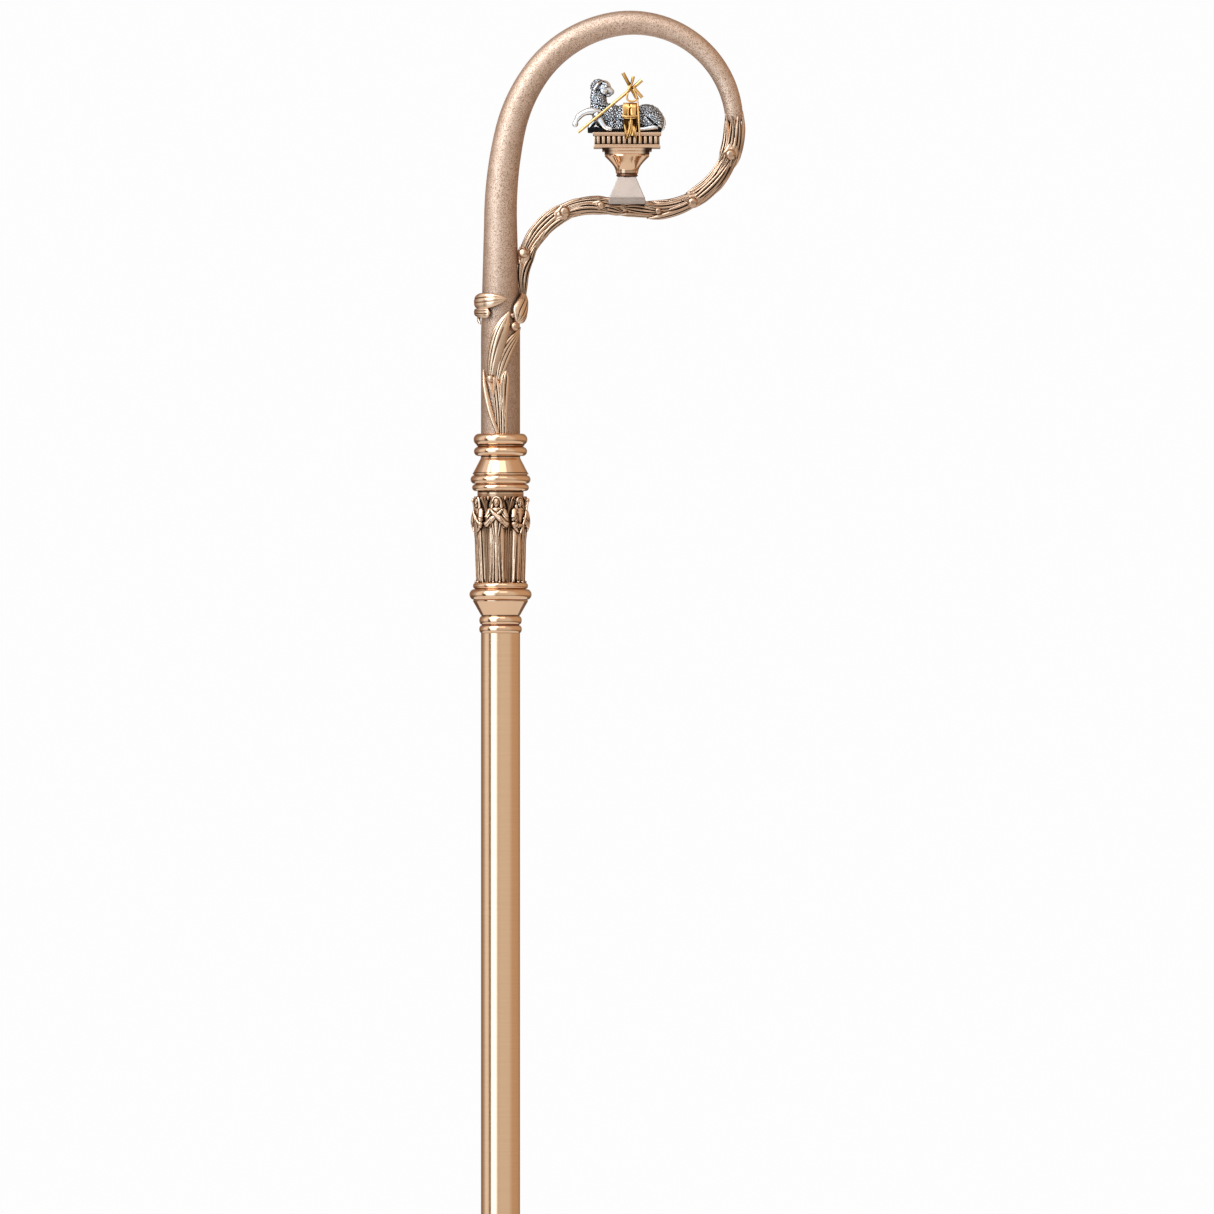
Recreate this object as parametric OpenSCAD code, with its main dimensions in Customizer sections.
// Crozier: a bishop's staff that unscrews into a head and two lengths of tube.
// Millimetres. +Z runs up the staff from the centre of the foot's end face,
// the crook opens towards +X and its front faces -Y.

/* [Staff] */
// Outer diameter of the staff's tube
staff_d = 25.4; // [25:0.1:26]
// Wall of the staff's tube
staff_wall = 1.6; // [1.2:0.1:2]
// Height of the top face of the lower staff
mid_seam_z = 716; // [650:1:780]
// Height of the top face of the upper staff
head_seam_z = 1431.4; // [1400:0.1:1460]
// Thickness of the friction washers in the two screwed joints
washer_t = 0.6; // [0.4:0.1:1]
// Largest diameter of the bead rings at the screwed joints
joint_ring_d = 27.7; // [27:0.1:30]

/* [Screwed joints] */
// Diameter of the joint studs over their threads
stud_d = 11.8; // [10:0.1:12]
// Radial clearance of a stud in its socket
stud_clearance = 0.1; // [0.05:0.01:0.1]
// Length of thread in engagement
thread_len = 14; // [12:0.5:16]

/* [Foot] */
// Outer diameter of the ferrule
ferrule_d = 29; // [28:0.1:30]
// Length of the ferrule
ferrule_len = 60; // [40:1:90]
// Height of the screwed foot tip
tip_h = 12; // [8:0.5:18]

/* [Knop] */
// Largest diameter of the knop, over its lower bead
knop_d = 40.4; // [38:0.1:44]
// Height of the drum with the figures
drum_h = 57.8; // [50:0.1:66]
// Number of figures round the drum
figure_count = 6; // [6:1:6]
// Angle by which the figures are turned from the front
figure_offset = -8; // [-30:1:30]
// Diameter of the central tie rod
tie_d = 8; // [6:0.5:8]

/* [Crook] */
// Diameter of the crook's tube where the plain part ends
crook_end_d = 11.7; // [11:0.1:13]
// Diameter of the leaf garland's core
garland_d = 10.6; // [9:0.1:12]
// Sides of the crook's swept tube
crook_sides = 28; // [16:4:32]
// Spacing of the rings along the swept tubes
ring_step = 7; // [6:1:12]

/* [Pedestal and lamb] */
// Distance of the pedestal's axis from the staff's axis
pedestal_x = 82.2; // [80:0.1:84]
// Half of the plinth's width, left to right
plinth_half_w = 22.2; // [20:0.1:24]
// Half of the plinth's depth, front to back
plinth_half_d = 14; // [12:0.1:16]
// Height of the plinth
plinth_h = 10; // [9:0.1:11]
// Diameter of the rod of the cross
cross_rod_d = 1.8; // [1.4:0.1:2.4]

/* [Hidden] */

round_fn = 96;
small_fn = 32;
overlap = 0.01;

// Levels of the knop's turned pieces, from the bottom up
head_z = head_seam_z + washer_t;
head_collar_h = 5.4;
lower_cone_h = 10.6;
base_ring_h = 7;
base_bead_h = 4.2;
cap_bead_h = 6.5;
cap_ring_h = 5.5;
upper_cone_h = 11.4;
collar_bead_h = 7.5;
top_collar_h = 8.1;
lower_cone_z = head_z + head_collar_h;
base_ring_z = lower_cone_z + lower_cone_h;
base_bead_z = base_ring_z + base_ring_h;
drum_z = base_bead_z + base_bead_h;
cap_bead_z = drum_z + drum_h;
cap_ring_z = cap_bead_z + cap_bead_h;
upper_cone_z = cap_ring_z + cap_ring_h;
collar_bead_z = upper_cone_z + upper_cone_h;
top_collar_z = collar_bead_z + collar_bead_h;
stem_z = top_collar_z + top_collar_h;

staff_r = staff_d / 2;
bore_r = staff_r - staff_wall;
neck_r = 9;
stud_r = stud_d / 2;
socket_r = stud_r + stud_clearance;
socket_depth = thread_len + washer_t + 2;
ring_h = 5;
plug_h = 30;
tie_bore_r = tie_d / 2 + 0.2;

// Centreline of the crook in its own plane, from the knop's top to the tip of the garland:
// each stretch is [straight length, bend radius, bend angle], clockwise positive
crook_route = [
    [140, 0, 0], [0, 260, 12.5], [0, 103, 23], [0, 80, 44], [0, 66.5, 109],
    [0, 53.5, 87.5], [26, 0, 0], [0, 48, -98.5]
];
// Length along the centreline where the plain tube ends, where the garland is parted
// under the pedestal, and where it ends beside the stem
tube_end = 410;
garland_part = 518;
garland_end = 616;
// Length of the crook's turned straight foot, and radius of its tube at lengths along its
// centreline: the bent part starts a little inside the foot
foot_len = 60;
crook_radii = [
    [foot_len, staff_r - 0.1], [foot_len + 8, staff_r], [136, 10.75], [184, 10], [233, 9], [302, 8],
    [351, 7], [371, 6.65], [390, 6.3], [tube_end, crook_end_d / 2]
];

// ---- Centreline functions ----

function stretch_len(s) = s[1] == 0 ? s[0] : s[1] * abs(s[2]) * PI / 180;

// State [x, z, heading] after a length d of one stretch
function along(state, s, d) =
    s[1] == 0
        ? [state[0] + d * cos(state[2]), state[1] + d * sin(state[2]), state[2]]
        : let (side = sign(s[2]),
               turn = side * d / s[1] * 180 / PI,
               cx = state[0] + side * s[1] * sin(state[2]),
               cz = state[1] - side * s[1] * cos(state[2]),
               end = state[2] - turn)
          [cx - side * s[1] * sin(end), cz + side * s[1] * cos(end), end];

// State at length d along the whole route
function route_state(d, i = 0, state = [0, 0, 90]) =
    i == len(crook_route) - 1 || d <= stretch_len(crook_route[i])
        ? along(state, crook_route[i], d)
        : route_state(d - stretch_len(crook_route[i]), i + 1,
                      along(state, crook_route[i], stretch_len(crook_route[i])));

// Point of the route's plane, placed in the crozier
function placed(p) = [p[0], 0, stem_z + p[1]];

// One ring of points round the centreline at length d
function ring_at(d, r, sides) =
    let (s = route_state(d), c = placed(s), n = [-sin(s[2]), 0, cos(s[2])])
    [for (k = [0:sides - 1]) c + r * (cos(360 * k / sides) * n + sin(360 * k / sides) * [0, 1, 0])];

// Lengths from a to b at about the given step
function steps(a, b, step) =
    let (n = ceil((b - a) / step)) [for (i = [0:n]) a + (b - a) * i / n];

// Faces that join rings of points, with closed ends
function tube_faces(rings, sides) = concat(
    [[for (k = [sides - 1:-1:0]) k]],
    [for (i = [0:rings - 2]) for (k = [0:sides - 1])
        [i * sides + k, i * sides + (k + 1) % sides,
         (i + 1) * sides + (k + 1) % sides, (i + 1) * sides + k]],
    [[for (k = [0:sides - 1]) (rings - 1) * sides + k]]
);

// Solid through rings of points that all have the same number of sides
module skinned(rings) {
    sides = len(rings[0]);
    polyhedron(points = [for (ring = rings) for (p = ring) p], faces = tube_faces(len(rings), sides));
}

// Round bar along a list of points, with a radius at each point
module bar(points, radii, sides) {
    last = len(points) - 1;
    skinned([
        for (i = [0:last])
            let (a = points[max(i - 1, 0)], b = points[min(i + 1, last)],
                 t = (b - a) / norm(b - a),
                 u0 = cross(t, abs(t[1]) < 0.9 ? [0, 1, 0] : [1, 0, 0]),
                 u = u0 / norm(u0), v = cross(t, u))
            [for (k = [0:sides - 1])
                points[i] + radii[i] * (cos(360 * k / sides) * u - sin(360 * k / sides) * v)]
    ]);
}

// ---- Turned shapes ----

// Points on an elliptical arc about c, from angle a to angle b
function arc(c, rx, rz, a, b, n = 10) =
    [for (i = [0:n]) let (t = a + (b - a) * i / n) [c[0] + rx * cos(t), c[1] + rz * sin(t)]];

module turned(z, points) {
    translate([0, 0, z]) rotate_extrude($fn = round_fn) polygon(points);
}

// Ring with a half-round edge: bore, edge and largest radius
module bead(z, h, inner, edge, outer) {
    turned(z, concat([[inner, 0]], arc([edge, h / 2], outer - edge, h / 2, -90, 90), [[inner, h]]));
}

module rod(z, r, h, fn = round_fn) {
    translate([0, 0, z]) cylinder(r = r, h = h, $fn = fn);
}

// Plug that closes a tube's end: a wide part held in the tube and a narrow neck in the end ring
module tube_plug(wide_z, neck_z) {
    rod(wide_z, bore_r, plug_h);
    rod(neck_z, neck_r, ring_h);
}

// ---- Crook ----

module crook_tube() {
    color("tan") {
        difference() {
            rod(top_collar_z, staff_r, stem_z - top_collar_z + foot_len);
            rod(top_collar_z - 1, bore_r, plug_h + 1);
        }
        skinned([
            for (d = steps(foot_len - 2, tube_end, ring_step))
                ring_at(d, lookup(d, crook_radii), crook_sides)
        ]);
    }
}

module crook_plug() {
    color("goldenrod") difference() {
        rod(top_collar_z, bore_r, plug_h);
        rod(top_collar_z - 1, tie_d / 2 + 0.05, 25);
    }
}

// Core radius of the garland, fuller where the berries sit and pointed at its tip
function garland_r(d) =
    garland_d / 2 + 0.6 * pow(sin(180 * (d - tube_end) / (garland_part - tube_end)), 2)
    - 3.8 * max(0, (d - 596) / 20);

module garland(from, to) {
    color("peru") skinned([for (d = steps(from, to, ring_step)) ring_at(d, garland_r(d), 14)]);
}

module garland_right() {
    garland(tube_end, garland_part);
}

module garland_left() {
    garland(garland_part, garland_end);
}

// Berries of the garland: [length along the centreline, radius, side of the bar]
berries = [
    [436, 3.4, -1], [472, 3.2, -1], [498, 1.9, 1], [537, 2.2, 1],
    [560, 3.2, 1], [566, 1.5, -1], [596, 3.1, -1], [603, 1.5, -1]
];

module garland_berries() {
    color("tan") for (b = berries) {
        s = route_state(b[0]);
        sit = garland_d / 2 - 1;
        translate(placed(s) + b[2] * 1.5 * [-sin(s[2]), 0, cos(s[2])] - [0, sit, 0])
            sphere(r = b[1], $fn = small_fn);
    }
}

// Vine that winds up the stem: [height above the knop, angle round the stem from the front, radius]
vine_route = [
    [1, -8, 2.4], [16, -12, 2.6], [32, -20, 2.8], [46, -22, 3], [58, 0, 3], [66, 34, 3], [74, 70, 3.2],
    [82, 110, 3.2], [88, 160, 3], [90, 210, 3], [88, 250, 3], [84, 290, 2.6], [86, 330, 2], [88, 355, 1]
];

function round_stem(h, a, out) =
    let (r = lookup(h, crook_radii) + out) [r * sin(a), -r * cos(a), stem_z + h];

module stem_vine() {
    color("peru") bar(
        [for (v = vine_route) round_stem(v[0], v[1], v[2] * 0.6)], [for (v = vine_route) v[2]], 8
    );
}

// Leaf as a thin closed pod between two points, bulged away from the stem
module stem_leaf(from, to, width) {
    mid = (from + to) / 2;
    bar([from, (from + mid) / 2, mid, (mid + to) / 2, to],
        [0.6, 0.8 * width, width, 0.7 * width, 0.3], 8);
}

module stem_leaves() {
    color("tan") {
        stem_leaf(round_stem(48, -50, 1), round_stem(80, 24, 1.6), 2.2);
        stem_leaf(round_stem(76, -75, 1), round_stem(72, -20, 1.6), 2);
        stem_leaf(round_stem(84, -70, 1.5), round_stem(87, 20, 1.6), 2.4);
    }
}

module stem_berries() {
    color("tan") for (b = [[35, -28, 2.6], [69, 42, 2.6], [76, 42, 1.6]])
        translate(round_stem(b[0], b[1], 2.4)) sphere(r = b[2], $fn = small_fn);
}

// ---- Pedestal ----

foot_lip_h = 4.7;
foot_h = 18;
ring_gap_h = 2;
cup_h = 12.6;
plate_h = 2;
part_state = route_state(garland_part);
foot_z = stem_z + part_state[1] + 2.3;
ring_z = foot_z + foot_h;
cup_z = ring_z + ring_gap_h;
abacus_z = cup_z + cup_h;
plinth_z = abacus_z + 2 * plate_h;
lamb_base_z = plinth_z + plinth_h;
lamb_base_h = 4;
stud_clear_r = 1.65;

module on_pedestal(z) {
    translate([pedestal_x, 0, z]) children();
}

module block(w, d, h) {
    translate([-w, -d, 0]) cube([2 * w, 2 * d, h]);
}

module pedestal_foot() {
    color("rosybrown") difference() {
        on_pedestal(foot_z) {
            block(12, 12, foot_lip_h);
            hull() {
                translate([0, 0, foot_lip_h - overlap]) block(11.3, 11.3, overlap);
                translate([0, 0, foot_h - 0.4]) block(5.8, 5.8, 0.4);
            }
        }
        translate(placed(part_state))
            rotate([0, 90 - part_state[2], 0])
                cylinder(r = garland_r(garland_part) + 0.1, h = 60, center = true, $fn = round_fn);
        on_pedestal(foot_z - 1) cylinder(r = stud_clear_r, h = foot_h + 2, $fn = small_fn);
    }
}

module pedestal_turned(z, points) {
    on_pedestal(z) rotate_extrude($fn = round_fn) polygon(points);
}

module pedestal_ring() {
    color("dimgray") pedestal_turned(ring_z, concat(
        [[stud_clear_r, 0]], arc([5.8, 1], 1.2, 1, -90, 90), [[stud_clear_r, ring_gap_h]]
    ));
}

module pedestal_cup() {
    color("goldenrod") pedestal_turned(cup_z, concat(
        [[stud_clear_r, 0], [7.2, 0]],
        arc([14.4, 1.6], 7.2, 9.6, 180, 90),
        [[14.4, cup_h], [stud_clear_r, cup_h]]
    ));
}

module plate(z, half_w, half_d) {
    color("goldenrod") difference() {
        on_pedestal(z) block(half_w, half_d, plate_h);
        on_pedestal(z - 1) cylinder(r = stud_clear_r, h = plate_h + 2, $fn = small_fn);
    }
}

module abacus_lower() {
    plate(abacus_z, 14.6, 11.5);
}

module abacus_upper() {
    plate(abacus_z + plate_h, 16.1, 12.5);
}

moulding_h = 2;
frieze_inset = 1.6;

module plinth() {
    color("goldenrod") difference() {
        on_pedestal(plinth_z) {
            block(plinth_half_w - 0.6, plinth_half_d - 0.6, moulding_h);
            block(plinth_half_w - frieze_inset, plinth_half_d - frieze_inset, plinth_h);
            translate([0, 0, plinth_h - moulding_h]) block(plinth_half_w, plinth_half_d, moulding_h);
        }
        on_pedestal(plinth_z - 1) cylinder(r = stud_clear_r, h = plinth_h + 2, $fn = small_fn);
        on_pedestal(plinth_z + 2) cylinder(r = 3.6, h = plinth_h, $fn = small_fn);
    }
}

// Upright blocks of the frieze, spaced evenly along each face
frieze_pitch = 3.4;

module frieze_row(half_len, half_other) {
    count = floor((2 * half_len - 2) / frieze_pitch);
    for (side = [-1, 1], i = [0:count])
        translate([(i - count / 2) * frieze_pitch, side * (half_other + 0.35), 0])
            block(1, 0.35, plinth_h - 2 * moulding_h);
}

module plinth_frieze() {
    color("tan") on_pedestal(plinth_z + moulding_h) {
        frieze_row(plinth_half_w - frieze_inset, plinth_half_d - frieze_inset);
        rotate([0, 0, 90]) frieze_row(plinth_half_d - frieze_inset, plinth_half_w - frieze_inset);
    }
}

module pedestal_stud() {
    color("gray") on_pedestal(foot_z + 1)
        cylinder(r = 1.5, h = plinth_z - foot_z + 5, $fn = small_fn);
}

module pedestal_nut() {
    color("gray") on_pedestal(plinth_z + 2) difference() {
        cylinder(r = 3.1, h = 2.4, $fn = 6);
        translate([0, 0, -1]) cylinder(r = 1.55, h = 5, $fn = small_fn);
    }
}

// ---- Lamb, cross and banner ----

module lamb_base() {
    color("silver") on_pedestal(lamb_base_z) translate([-1.6, 0, 0]) block(24.4, 12.4, lamb_base_h);
}

lamb_z = lamb_base_z + lamb_base_h;

// Ellipsoid at a place on the lamb, measured from the middle of the lamb's base
module lump(x, y, z, rx, ry, rz) {
    translate([pedestal_x + x, y, lamb_z + z]) scale([rx, ry, rz]) sphere(r = 1, $fn = 20);
}

module lamb() {
    color("silver") {
        hull() {
            lump(16, 0, 6, 9, 8.6, 8);
            lump(2, 0, 8, 9, 8.4, 8);
            lump(-10, 0, 8, 8, 7.4, 8);
            lump(3, 0, 3, 16, 10, 3);
        }
        hull() {
            lump(-12, 0, 11, 7.4, 6, 6);
            lump(-15, 0, 22, 5.2, 4.6, 4.6);
        }
        hull() {
            lump(-16, 0, 26, 5.4, 4.8, 4.6);
            lump(-10, 0, 23, 2.6, 2.4, 2.4);
        }
        hull() {
            lump(-16, -5.5, 5, 4.4, 3, 4);
            lump(-24, -8.5, 11, 2.4, 2, 2.2);
        }
        hull() {
            lump(-24, -8.5, 11, 2.4, 2, 2.2);
            lump(-32, -8.5, 7.6, 1.8, 1.6, 1.8);
        }
        hull() {
            lump(-32, -8.5, 7.6, 1.8, 1.6, 1.8);
            lump(-33.4, -8.5, 3.2, 1.7, 1.5, 1.6);
        }
        hull() {
            lump(-12, 5, 3, 3, 3, 3);
            lump(-27, 5, 1.9, 2.4, 2.2, 1.8);
        }
    }
}

cross_low = [50.6, -11.6, 1751.4];
cross_high = [90.8, -11.2, 1784.4];

// Straight round bar between two points
module strut(a, b, r) {
    d = b - a;
    translate(a)
        rotate([0, acos(d[2] / norm(d)), atan2(d[1], d[0])])
            cylinder(r = r, h = norm(d), $fn = small_fn);
}

module cross_staff() {
    color("gold") strut(cross_low, cross_high, cross_rod_d / 2);
}

module cross_arms() {
    color("gold") {
        strut([79.8, -11.3, 1789], [88.4, -11.3, 1773.2], 1.1);
        strut([86.2, -11.3, 1780.8], [91.6, -11.3, 1785.2], 1.2);
    }
}

module cross_cord() {
    color("gold") bar(
        [[83.4, -12.6, 1780.8], [82.4, -12.8, 1776], [82, -12.8, 1772.4], [84, -13, 1770.4],
         [87, -12.8, 1772], [86.4, -12.8, 1776], [84.6, -12.6, 1779]],
        [0.7, 0.7, 0.7, 0.7, 0.7, 0.7, 0.7], 8
    );
}

banner_x = 84.3;
banner_half_w = 4.7;
banner_t = 1.2;
banner_top_z = 1770;
banner_fold_z = 1757;
banner_end_z = 1746.6;

module banner_slat(y, z) {
    translate([banner_x, y, z]) block(banner_half_w, banner_t / 2, 0.5);
}

module banner() {
    front = -plinth_half_d - 1.1;
    color("gold") {
        hull() {
            banner_slat(-11.2, banner_top_z);
            banner_slat(front, banner_fold_z);
        }
        hull() {
            banner_slat(front, banner_fold_z);
            banner_slat(front, banner_end_z);
        }
    }
}

module banner_rod() {
    color("gold") strut([89.9, -12.4, 1773], [90.4, -plinth_half_d - 1.1, 1746], 0.6);
}

// ---- Knop ----

module top_collar() {
    color("goldenrod") turned(top_collar_z, concat(
        [[staff_r, 0], [16.2, 0]], arc([staff_r, 4.9], 17.6 - staff_r, 3.2, 0, 90), []
    ));
}

module collar_bead() {
    color("goldenrod") turned(collar_bead_z, concat(
        [[tie_bore_r, 0], [12.8, 0], [12.8, 0.5]],
        arc([13.3, 4], 4, 3.5, -90, 90),
        [[tie_bore_r, collar_bead_h]]
    ));
}

module upper_cone() {
    color("goldenrod") turned(upper_cone_z, [
        [tie_bore_r, 0], [18.2, 0], [18.2, 0.4], [12.9, 10.6], [12.8, upper_cone_h],
        [tie_bore_r, upper_cone_h]
    ]);
}

module drum_cap_ring() {
    color("goldenrod") bead(cap_ring_z, cap_ring_h, tie_bore_r, 16.8, 19.5);
}

module drum_cap_bead() {
    color("goldenrod") turned(cap_bead_z, concat(
        [[tie_bore_r, 0], [15, 0], [15, 1.6]],
        arc([16, 4.05], 2.5, 2.45, -90, 90),
        [[tie_bore_r, cap_bead_h]]
    ));
}

drum_top_r = 15;
drum_low_r = 12.8;
drum_bore_r = 9.5;

module figure_drum() {
    color("saddlebrown") turned(drum_z, [
        [drum_bore_r, 0], [drum_low_r + 0.6, 0], [drum_low_r, 1.5], [drum_top_r, drum_h - 8],
        [drum_top_r, drum_h], [drum_bore_r, drum_h]
    ]);
}

// Standing robed figure: a column with shoulders, folded arms and a veiled head
module figure(i) {
    color("peru") rotate([0, 0, figure_offset + (i - 1) * 360 / figure_count]) {
        hull() {
            translate([0, -drum_low_r, drum_z + 0.2]) scale([5, 3, 1]) cylinder(r = 1, h = 1, $fn = 20);
            translate([0, -drum_low_r - 1.6, drum_z + 36]) scale([4.6, 2.6, 1]) cylinder(r = 1, h = 1, $fn = 20);
        }
        hull() {
            translate([0, -drum_low_r - 1.6, drum_z + 36]) scale([4.6, 2.6, 1]) cylinder(r = 1, h = 1, $fn = 20);
            translate([0, -drum_top_r - 0.6, drum_z + 46]) scale([6, 3, 2]) sphere(r = 1, $fn = 20);
        }
        translate([0, -drum_top_r - 0.4, drum_z + 51.8]) scale([3.4, 3.2, 4.8]) sphere(r = 1, $fn = 20);
    }
}

module figure_1() {
    figure(1);
}

module figure_2() {
    figure(2);
}

module figure_3() {
    figure(3);
}

module figure_4() {
    figure(4);
}

module figure_5() {
    figure(5);
}

module figure_6() {
    figure(6);
}

module drum_base_bead() {
    color("goldenrod") bead(base_bead_z, base_bead_h, tie_bore_r, 15.8, 17.9);
}

module drum_base_ring() {
    color("goldenrod") bead(base_ring_z, base_ring_h, tie_bore_r, knop_d / 2 - 3.5, knop_d / 2);
}

plug_top_h = 12;

module lower_cone() {
    color("goldenrod") turned(lower_cone_z, [
        [neck_r, 0], [12.8, 0], [12.8, 0.4], [17.9, lower_cone_h - 0.4], [17.9, lower_cone_h],
        [tie_bore_r, lower_cone_h], [tie_bore_r, plug_top_h - head_collar_h],
        [neck_r, plug_top_h - head_collar_h]
    ]);
}

module head_collar() {
    color("goldenrod") bead(head_z, head_collar_h, neck_r, 12.2, joint_ring_d / 2 - 0.05);
}

tie_low_z = head_z + 3;

module tie_rod() {
    color("gray") rod(tie_low_z, tie_d / 2, top_collar_z + 22 - tie_low_z);
}

module tie_washer() {
    color("gray") difference() {
        rod(drum_z, 8.4, 1.6);
        rod(drum_z - 1, tie_bore_r, 4);
    }
}

module tie_nut() {
    color("gray") difference() {
        rod(drum_z + 1.6, 7.5, 6.5, 6);
        rod(drum_z, tie_d / 2 + 0.05, 10);
    }
}

// Turned plug in the knop's base with the joint's stud below it
module head_stud() {
    color("gray") difference() {
        union() {
            rod(head_z, neck_r, plug_top_h);
            rod(head_z - washer_t - thread_len, stud_r, washer_t + thread_len + overlap);
        }
        rod(tie_low_z, tie_d / 2 + 0.05, plug_top_h);
    }
}

// ---- Screwed joints and staff ----

module friction_washer(z) {
    color("sienna") difference() {
        rod(z, staff_r - 0.4, washer_t);
        rod(z - 1, stud_r + 0.2, washer_t + 2);
    }
}

module head_washer() {
    friction_washer(head_seam_z);
}

module mid_washer() {
    friction_washer(mid_seam_z);
}

module joint_ring(z) {
    color("goldenrod") bead(z, ring_h, neck_r, 12.2, joint_ring_d / 2);
}

// Threaded socket that closes the top of a tube, its mouth level with the end ring
module socket(seam_z) {
    color("gray") difference() {
        tube_plug(seam_z - ring_h - plug_h, seam_z - ring_h - overlap);
        rod(seam_z - socket_depth, socket_r, socket_depth + 1);
    }
}

module staff_tube(low_z, high_z) {
    color("tan") difference() {
        rod(low_z, staff_r, high_z - low_z);
        rod(low_z - 1, bore_r, high_z - low_z + 2);
    }
}

upper_low_z = mid_seam_z + washer_t;

module upper_ring() {
    joint_ring(head_seam_z - ring_h);
}

module upper_socket() {
    socket(head_seam_z);
}

module upper_tube() {
    staff_tube(upper_low_z + ring_h, head_seam_z - ring_h);
}

module upper_stud() {
    color("gray") {
        rod(upper_low_z, neck_r, ring_h + overlap);
        rod(upper_low_z + ring_h, bore_r, plug_h);
        rod(mid_seam_z - thread_len, stud_r, thread_len + washer_t + overlap);
    }
}

module upper_joint_ring() {
    joint_ring(upper_low_z);
}

module lower_joint_ring() {
    joint_ring(mid_seam_z - ring_h);
}

module lower_socket() {
    socket(mid_seam_z);
}

module lower_tube() {
    staff_tube(tip_h, mid_seam_z - ring_h);
}

// Threaded plug in the bottom of the staff that the foot tip screws into
module foot_plug() {
    color("gray") difference() {
        rod(tip_h, bore_r, plug_h);
        rod(tip_h - 1, 4.05, 22);
    }
}

module ferrule() {
    color("goldenrod") difference() {
        rod(tip_h, ferrule_d / 2, ferrule_len);
        rod(tip_h - 1, staff_r, ferrule_len + 2);
    }
}

// Rounded tip, a little slimmer than the ferrule, with the stud that screws into the foot plug
module foot_tip() {
    tip_r = ferrule_d / 2 - 0.7;
    color("goldenrod") {
        turned(0, concat([[0, 0]], arc([tip_r - 4, 4], 4, 4, -90, 0), [[tip_r, tip_h], [0, tip_h]]));
        rod(tip_h - overlap, 4, 18);
    }
}

crook_tube();
crook_plug();
garland_right();
garland_left();
garland_berries();
stem_vine();
stem_leaves();
stem_berries();
pedestal_foot();
pedestal_ring();
pedestal_cup();
abacus_lower();
abacus_upper();
plinth();
plinth_frieze();
pedestal_stud();
pedestal_nut();
lamb_base();
lamb();
cross_staff();
cross_arms();
cross_cord();
banner();
banner_rod();
top_collar();
collar_bead();
upper_cone();
drum_cap_ring();
drum_cap_bead();
figure_drum();
figure_1();
figure_2();
figure_3();
figure_4();
figure_5();
figure_6();
drum_base_bead();
drum_base_ring();
lower_cone();
head_collar();
tie_rod();
tie_nut();
tie_washer();
head_stud();
head_washer();
upper_ring();
upper_socket();
upper_tube();
upper_stud();
upper_joint_ring();
mid_washer();
lower_joint_ring();
lower_socket();
lower_tube();
foot_plug();
ferrule();
foot_tip();
